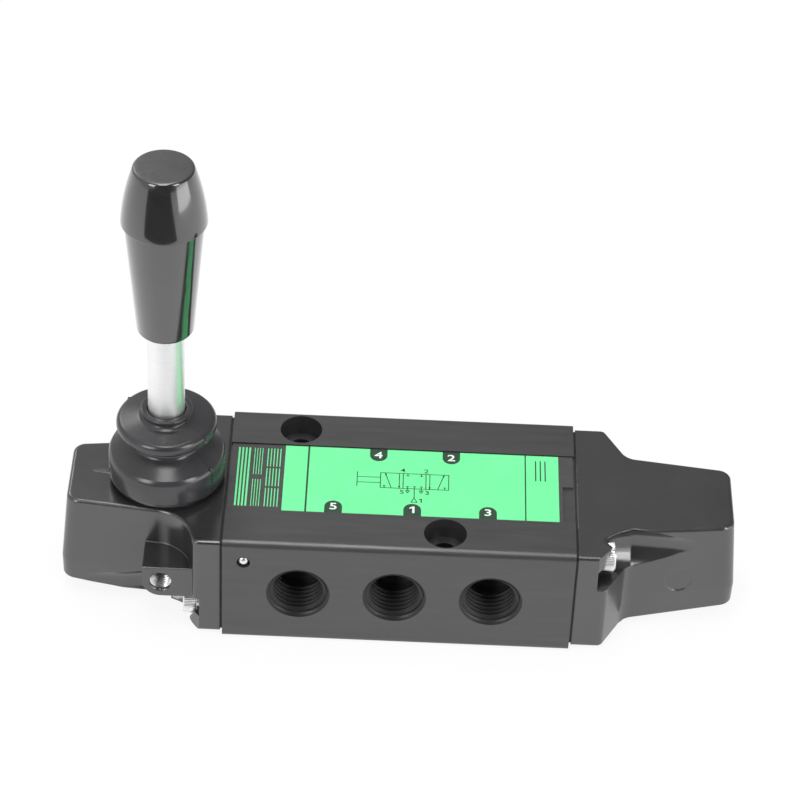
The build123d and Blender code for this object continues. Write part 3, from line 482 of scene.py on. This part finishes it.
def makeKnob():
    low, high = boxInMm("knob")
    height = high.z - low.z
    seam, rim = knob["seam"], height - knob["crown"]
    cap = []
    for step in range(knob["bulgeSteps"] + 1):
        share = step / knob["bulgeSteps"]
        straight = knob["seamRadius"] + (knob["topRadius"] - knob["seamRadius"]) * share
        bulge = knob["bulge"] * 4 * share * (1 - share)      # none at both ends, full half way up
        cap.append((straight + bulge, seam + (rim - seam) * share))
    crown = [(knob["topRadius"] * share, height - knob["crown"] * share * share)
             for share in (0.8, 0.6, 0.4, 0.2, 0)]
    waist, ledge = knob["lowSeamRadius"], seam - knob["stepHigh"]
    neck = waist - knob["stepDeep"]
    profile = [(0, knob["footDeep"]), (knob["footRadius"], knob["footDeep"]), (knob["footMouth"], 0),
               (knob["lowRadius"], 0), (waist, ledge), (neck, ledge), (neck, seam), *cap, *crown]
    shape = turnedShape(profile, knob["steps"])
    roundRing(shape, knob["lowRadius"], 0, knob["lowRounding"], knob["segments"])
    roundRing(shape, knob["topRadius"], rim, knob["topRounding"], knob["segments"])
    roundRing(shape, knob["seamRadius"], seam, knob["lip"], knob["segments"])
    bmesh.ops.translate(shape, verts=shape.verts, vec=(leverPivot.x, 0, low.z))
    piece = finishPiece(shape, "knob_grip", "blackPhenolic", "lever", ["knob"], sharpAbove=30)
    piece.data.materials.append(surfaces["mattPhenolic"])
    for face in piece.data.polygons:
        if face.normal.z > knob["matt"]:
            face.material_index = 1


makeKnob()
print("knob turned")


# cover screws

screw = {
    "headRadius": 3.5, "headLength": 3.2, "shankRadius": 2.0, "chamfer": 0.35,
    "socket": 1.75, "socketDepth": 1.8, "mouthWide": 0.25, "mouthDeep": 0.2,
    "underWide": 0.2, "underHigh": 0.25,         # the small chamfer under the head
    "knurl": 0.06, "teeth": 56,
}


def screwShape(shank):
    # axis +Z with the head's underside at z = 0
    head, length, stem = screw["headRadius"], screw["headLength"], screw["shankRadius"]
    chamfer, socket = screw["chamfer"], screw["socket"]
    floor = length - screw["socketDepth"]
    profile = [(0, floor), (socket, floor), (socket, length - screw["mouthDeep"]),
               (socket + screw["mouthWide"], length), (head - chamfer, length), (head, length - chamfer),
               (head, screw["underHigh"]), (head - screw["underWide"], 0), (stem, 0),
               (stem, -shank), (0, -shank)]
    shape = turnedShape(profile, screw["teeth"] * 2)
    for vert in shape.verts:
        radius = hypot(vert.co.x, vert.co.y)
        angle = atan2(vert.co.y, vert.co.x)
        if abs(radius - head) < near and round(angle * screw["teeth"] / pi) % 2:
            vert.co.xy *= 1 - screw["knurl"] / head
        if abs(radius - socket) < near:          # the socket's round becomes a hexagon
            vert.co.xy *= cos(pi / 6) / cos(angle % (pi / 3) - pi / 6)
    return shape


def makeScrews(side, direction):
    # two screws on one diagonal of a cover, heads outwards
    node = f"cover_screws_{side}"
    low, high = boxInMm(node)
    inset, head = screw["headRadius"], screw["headLength"]
    underHead = high.x - head if direction > 0 else low.x + head
    single = screwShape(high.x - low.x - head)
    pair = bmesh.new()
    for y, z in ((low.y + inset, high.z - inset), (high.y - inset, low.z + inset)):
        place = Matrix.Translation((underHead, y * direction, z))
        addCopy(pair, single, place @ facing((direction, 0, 0)))
    single.free()
    finishPiece(pair, f"socket_screws_{side}", "zincSteel", "housing", [node], sharpAbove=24)


makeScrews("left", -1)
makeScrews("right", 1)
print("screws knurled")


# printed label, on the plate's upper face

greenLayer, darkLayer, paleLayer = 0, 1, 2       # the print lies in three films, one on another

label = {
    "film": 0.02,                                # thickness of one film
    "green": (-27.3, 36.3), "margin": 0.1,
    "rules": [(-21.85, 0.42), (28.6, 0.3)],      # dark lines across the green: place and width
    # plain hatching on the dark end: (first x, last x, lines, line width, low y, high y)
    "hatching": [(-38.0, -35.6, 4, 0.42, -10.2, 10.2), (-34.4, -32.6, 4, 0.16, -10.2, -0.9),
                 (-34.4, -32.6, 4, 0.16, 0.9, 10.2), (-31.3, -28.4, 5, 0.22, -10.2, -3.9),
                 (-31.3, -28.4, 5, 0.22, -3.1, 3.1), (-31.3, -28.4, 5, 0.22, 3.9, 10.2)],
    "band": {"start": 31.0, "pitch": 1.1, "count": 3, "width": 0.28, "low": 2.6, "high": 9.6},
    # port numbers on tabs: place, and 1 at the back edge or -1 at the front edge
    "tabs": {"4": (-5.6, 1), "2": (11.35, 1), "5": (-15.5, -1), "1": (2.6, -1), "3": (19.95, -1)},
    "tabHalf": 2.03, "tabDrop": 4.2, "tabTurn": 12,
    "numeral": {"size": 3.125, "drop": 2.15, "bold": 0.04, "wide": 1.25},
    # outline of the figure 1 with its flag, in shares of its size
    "one": [(0.0, -0.36), (0.13, -0.36), (0.13, 0.36), (0.02, 0.36), (-0.17, 0.23), (-0.17, 0.1),
            (0.0, 0.19)],
}
plateLow, plateHigh = boxInMm("label_plate")
frontEdge, backEdge = plateLow.y + label["margin"], plateHigh.y - label["margin"]


def printLayer(layer):
    return plateHigh.z + layer * label["film"], plateHigh.z + (layer + 1) * label["film"]


def addBar(shape, start, end, width, layer):
    # a printed line between two points, a little longer at both ends
    start, end = Vector(start), Vector(end)
    low, high = printLayer(layer)
    made = bmesh.ops.create_cube(shape, size=1)["verts"]
    bmesh.ops.scale(shape, verts=made, vec=((end - start).length + width * 0.5, width, high - low))
    turn = Matrix.Rotation(atan2(end.y - start.y, end.x - start.x), 4, "Z")
    middle = Matrix.Translation(((start.x + end.x) / 2, (start.y + end.y) / 2, (low + high) / 2))
    bmesh.ops.transform(shape, verts=made, matrix=middle @ turn)


def numeralShape(text, size, bold):
    # flat text, but the figure 1 has its own outline, with a flag that the plain face lacks
    shape = bmesh.new()
    if text == "1":
        outline = [(x * size, y * size) for x, y in label["one"]]
        raiseOutline(shape, outline, -label["film"] / 2, label["film"] / 2)
        return shape
    font = bpy.data.curves.new("numeral", "FONT")
    font.body = text
    font.size = size
    font.offset = bold
    font.align_x, font.align_y = "CENTER", "CENTER"
    font.extrude = label["film"] / 2
    holder = bpy.data.objects.new("numeral", font)
    mesh = bpy.data.meshes.new_from_object(holder)
    shape.from_mesh(mesh)
    bpy.data.objects.remove(holder)
    bpy.data.meshes.remove(mesh)
    bmesh.ops.remove_doubles(shape, verts=shape.verts, dist=near / 100)
    return shape


def addNumeral(shape, text, x, y, style, layer):
    numeral = numeralShape(text, style["size"], style["bold"])
    place = Matrix.Translation((x, y, sum(printLayer(layer)) / 2))
    addCopy(shape, numeral, place @ Matrix.Diagonal((style["wide"], 1, 1, 1)))
    numeral.free()


def addTab(shape, x, side):
    # a dark tab that hangs from an edge of the plate and ends in a half circle
    half = label["tabHalf"]
    edge = backEdge if side > 0 else frontEdge
    centre = edge - side * (label["tabDrop"] - half)
    angles = [radians(degrees) for degrees in range(0, 181, label["tabTurn"])]
    arc = [(x + half * cos(angle), centre - side * half * sin(angle)) for angle in angles]
    raiseOutline(shape, [(x + half, edge), *arc, (x - half, edge)], *printLayer(darkLayer))


def makeGreenPrint():
    green = bmesh.new()
    low, high = printLayer(greenLayer)
    addPlate(green, (label["green"][0], frontEdge, low), (label["green"][1], backEdge, high))
    for first, last, count, width, lower, upper in label["hatching"]:
        for index in range(count):
            x = first + (last - first) * index / (count - 1)
            addBar(green, (x, lower), (x, upper), width, greenLayer)
    finishPiece(green, "label_green", "labelGreen", "housing")


def makeDarkPrint():
    dark = bmesh.new()
    for x, width in label["rules"]:
        addBar(dark, (x, frontEdge), (x, backEdge), width, darkLayer)
    band = label["band"]
    for index in range(band["count"]):
        x = band["start"] + index * band["pitch"]
        addBar(dark, (x, band["low"]), (x, band["high"]), band["width"], darkLayer)
    for x, side in label["tabs"].values():
        addTab(dark, x, side)
    addSymbol(dark)
    finishPiece(dark, "label_print", "printBlack", "housing")


def makePalePrint():
    pale = bmesh.new()
    style = label["numeral"]
    for text, (x, side) in label["tabs"].items():
        edge = backEdge if side > 0 else frontEdge
        addNumeral(pale, text, x, edge - side * style["drop"], style, paleLayer)
    finishPiece(pale, "label_numerals", "printWhite", "housing")


# the circuit symbol: three flow boxes in a row, measured from their lower left corner
symbol = {
    "corner": (-4.95, -2.0), "box": 5.26, "line": 0.19,
    "arrow": 0.816, "arrowSpread": 18,           # arrow heads: length, and degrees to each side
    "stub": 0.75, "stubHalf": 0.33,              # a closed port: a short line with a bar across it
    # places across an outer box, in shares of it: straight flow, slanted flow, closed port
    "straight": 0.83, "slantFoot": 0.48, "slantTop": 0.2, "closed": 0.17,
    "sides": (0.2, 0.8), "centre": 0.5,          # ports of the middle box
    "exhaust": {"half": 0.42, "top": 0.7, "tip": 1.5},
    "supply": {"half": 0.7, "tip": 3.3, "base": 4.7},
    "push": {"reach": 5.4, "low": 0.2, "past": 0.05, "rails": (0.32, 0.68)},
    # port numbers, measured from the middle box's lower left corner
    "numbers": {"4": (-0.1, 6.31), "2": (5.3, 6.26), "5": (-0.25, -1.3), "3": (5.6, -1.3),
                "1": (4.13, -4.1)},
    "numeral": {"size": 1.9, "bold": 0.01, "wide": 1.2},
}


def drawLine(shape, *points):
    for start, end in zip(points, points[1:]):
        addBar(shape, start, end, symbol["line"], darkLayer)


def drawArrowHead(shape, tip, angle):
    angles = [angle + radians(symbol["arrowSpread"]), angle - radians(symbol["arrowSpread"])]
    back = [(tip[0] - symbol["arrow"] * cos(turn), tip[1] - symbol["arrow"] * sin(turn)) for turn in angles]
    raiseOutline(shape, [tip, *back], *printLayer(darkLayer))


def drawClosedPort(shape, x, y, away):
    end = y + away * symbol["stub"]
    drawLine(shape, (x, y), (x, end))
    drawLine(shape, (x - symbol["stubHalf"], end), (x + symbol["stubHalf"], end))


def drawOuterBox(shape, start, mirror):
    # one straight flow down, one slanted flow up and one closed port
    size, low = symbol["box"], symbol["corner"][1]
    high = low + size
    straight = start + mirror * size * symbol["straight"]
    drawLine(shape, (straight, high), (straight, low))
    drawArrowHead(shape, (straight, low), -pi / 2)
    foot, top = start + mirror * size * symbol["slantFoot"], start + mirror * size * symbol["slantTop"]
    drawLine(shape, (foot, low), (top, high))
    drawArrowHead(shape, (top, high), atan2(high - low, top - foot))
    drawClosedPort(shape, start + mirror * size * symbol["closed"], low, 1)


def drawMiddlePorts(shape, left, low):
    # all ports closed, with two exhausts and the supply below
    size, exhaust, supply = symbol["box"], symbol["exhaust"], symbol["supply"]
    top, half = low - exhaust["top"], exhaust["half"]
    for share in symbol["sides"]:
        x = left + size * share
        drawClosedPort(shape, x, low + size, -1)
        drawClosedPort(shape, x, low, 1)
        drawLine(shape, (x, low), (x, top))
        drawLine(shape, (x - half, top), (x + half, top), (x, low - exhaust["tip"]), (x - half, top))
    x, tip, base = left + size * symbol["centre"], low - supply["tip"], low - supply["base"]
    drawClosedPort(shape, x, low, 1)
    drawLine(shape, (x, low), (x, tip), (x - supply["half"], base), (x + supply["half"], base), (x, tip))


def addSymbol(shape):
    size, push = symbol["box"], symbol["push"]
    left, low = symbol["corner"]
    high, right, middle = low + size, left + 3 * size, left + size
    drawLine(shape, (left, low), (right, low), (right, high), (left, high), (left, low))
    for x in (middle, middle + size):
        drawLine(shape, (x, low), (x, high))
    drawOuterBox(shape, left, 1)
    drawOuterBox(shape, right, -1)
    drawMiddlePorts(shape, middle, low)
    bar = left - push["reach"]
    drawLine(shape, (bar, low + push["low"]), (bar, high + push["past"]))
    for share in push["rails"]:
        drawLine(shape, (bar, low + size * share), (left, low + size * share))
    for text, (x, y) in symbol["numbers"].items():
        addNumeral(shape, text, middle + x, low + y, symbol["numeral"], darkLayer)


makeGreenPrint()
makeDarkPrint()
makePalePrint()
print("label printed")


# stage, light and camera

studio = {
    "floorSize": 6, "paper": 0.93, "paperRoughness": 0.9,
    "seenWhite": 0.88,                           # how much of the paper's white is its own, where it is seen
    "light": 0.5,                                # the surroundings as light
    # the surroundings in reflections: at the left and the right, and how soft the change is
    "mirroredLeft": 0.64, "mirroredRight": 0.22, "fade": 0.2,
    # the dark patch in reflections: its direction, where it starts and where it is full
    "mirroredDark": 0.15, "darkWay": (-0.08, -0.95, 0.3), "darkEdge": 0.66, "darkCore": 0.84,
    # the dark card on the floor, in metres
    "card": [(-0.21, -0.15), (0.06, -0.15), (1.3, -2.9), (-2.9, -2.9)], "cardHeight": 0.0005,
    "cardColour": 0.02,
}


def seenRays(tree):
    # 1 where the camera, a gloss or a clear piece sees the surface
    path = addNode(tree, "ShaderNodeLightPath").outputs
    either = combine(tree, "MAXIMUM", path["Is Camera Ray"], path["Is Glossy Ray"])
    return combine(tree, "MAXIMUM", either, path["Is Transmission Ray"])


def makePaper():
    # lit by the lamps, and white of its own where it is seen, under a faint shadow
    material = bpy.data.materials.new("studioPaper")
    material.use_nodes = True
    tree = material.node_tree
    shader = tree.nodes["Principled BSDF"]
    shader.inputs["Base Color"].default_value = (*[studio["paper"]] * 3, 1)
    shader.inputs["Roughness"].default_value = studio["paperRoughness"]
    shader.inputs["Specular IOR Level"].default_value = 0.0
    seen = combine(tree, "MULTIPLY", seenRays(tree), studio["seenWhite"])
    white = addNode(tree, "ShaderNodeEmission", {"Color": (1, 1, 1, 1), "Strength": 1.0}).outputs[0]
    mixed = addNode(tree, "ShaderNodeMixShader", {0: seen, 1: shader.outputs[0], 2: white}).outputs[0]
    tree.links.new(mixed, tree.nodes["Material Output"].inputs["Surface"])
    return material


def makeWorld():
    # white behind the object, dimmer as light, and darkest in reflections towards the front
    world = bpy.data.worlds.new("studio")
    bpy.context.scene.world = world
    world.use_nodes = True
    tree = world.node_tree
    background = tree.nodes["Background"]
    background.inputs["Color"].default_value = (1, 1, 1, 1)
    path = addNode(tree, "ShaderNodeLightPath").outputs
    way = addNode(tree, "ShaderNodeTexCoord").outputs["Generated"]
    across = addNode(tree, "ShaderNodeSeparateXYZ", {0: way}).outputs["X"]
    bright = spread(tree, across, -studio["fade"], studio["fade"],
                    studio["mirroredLeft"], studio["mirroredRight"])
    turned = dotProduct(tree, way, Vector(studio["darkWay"]).normalized())
    dim = spread(tree, turned, studio["darkEdge"], studio["darkCore"], 1.0, studio["mirroredDark"])
    mirrored = combine(tree, "MULTIPLY", bright, dim)
    lit = addNode(tree, "ShaderNodeMix", {0: path["Is Glossy Ray"], 2: studio["light"], 3: mirrored})
    shown = addNode(tree, "ShaderNodeMix", {0: path["Is Camera Ray"], 2: lit.outputs[0], 3: 1.0})
    tree.links.new(shown.outputs[0], background.inputs["Strength"])


def addDarkCard():
    # a dark card on the floor that only reflections see
    shape = bmesh.new()
    shape.faces.new([shape.verts.new((x, y, studio["cardHeight"])) for x, y in studio["card"]])
    mesh = bpy.data.meshes.new("dark_card")
    shape.to_mesh(mesh)
    shape.free()
    material = bpy.data.materials.new("dark_card")
    material.use_nodes = True
    shader = material.node_tree.nodes["Principled BSDF"]
    shader.inputs["Base Color"].default_value = (*[studio["cardColour"]] * 3, 1)
    shader.inputs["Roughness"].default_value = 1.0
    mesh.materials.append(material)
    card = bpy.data.objects.new("dark_card", mesh)
    bpy.context.scene.collection.objects.link(card)
    card.visible_camera = card.visible_diffuse = card.visible_shadow = card.visible_transmission = False


def makeStage():
    bpy.ops.mesh.primitive_plane_add(size=studio["floorSize"])
    floor = bpy.context.active_object
    floor.name = "studio_floor"
    floor.data.materials.append(makePaper())
    addDarkCard()
    makeWorld()


# places and sizes in metres, power in watts
softboxes = {
    "overhead": {"place": (-0.05, 0.0, 0.75), "target": (0, 0, 0.02), "size": (0.7, 0.25), "power": 2.7},
    "frontLeft": {"place": (-0.6, -0.75, 0.5), "target": (0, 0, 0.02), "size": (0.35, 0.6), "power": 3.8},
    "frontRight": {"place": (0.65, -0.6, 0.55), "target": (0, 0, 0.02), "size": (0.3, 0.6), "power": 3.2},
    "backLeft": {"place": (-0.45, 0.62, 0.6), "target": (0, 0, 0.04), "size": (0.3, 0.25), "power": 0.9},
    "rightLow": {"place": (0.3, -0.16, 0.075), "target": (-0.05, 0, 0.1), "size": (0.3, 0.12),
                 "power": 0.28},
}


def addSoftbox(name, place, target, size, power):
    light = bpy.data.lights.new(name, "AREA")
    light.shape = "RECTANGLE"
    light.size, light.size_y = size
    light.energy = power
    holder = bpy.data.objects.new(name, light)
    holder.location = place
    holder.rotation_euler = (Vector(target) - Vector(place)).to_track_quat("-Z", "Y").to_euler()
    holder.visible_camera = False
    bpy.context.scene.collection.objects.link(holder)


# place and lens in millimetres, clipping in metres, angles in degrees
camera = {"place": (-5.133, -567.73, 518.914), "down": 39.351, "turn": 0.3853, "roll": 2.687,
          "lens": 146.08, "sensor": 36, "clip": (0.05, 20)}


def makeCamera():
    lens = bpy.data.cameras.new("view")
    lens.lens = camera["lens"]
    lens.sensor_width = camera["sensor"]
    lens.clip_start, lens.clip_end = camera["clip"]
    holder = bpy.data.objects.new("view", lens)
    down, turn = radians(camera["down"]), radians(camera["turn"])
    look = Vector((sin(turn) * cos(down), cos(turn) * cos(down), -sin(down)))
    roll = Quaternion((0, 0, 1), radians(camera["roll"]))
    holder.rotation_mode = "QUATERNION"
    holder.rotation_quaternion = look.to_track_quat("-Z", "Y") @ roll
    holder.location = Vector(camera["place"]) * mm
    bpy.context.scene.collection.objects.link(holder)
    bpy.context.scene.camera = holder


makeStage()
for name, box in softboxes.items():
    addSoftbox(name, **box)
makeCamera()
bpy.context.scene.view_settings.view_transform = "Standard"
print("stage lit")
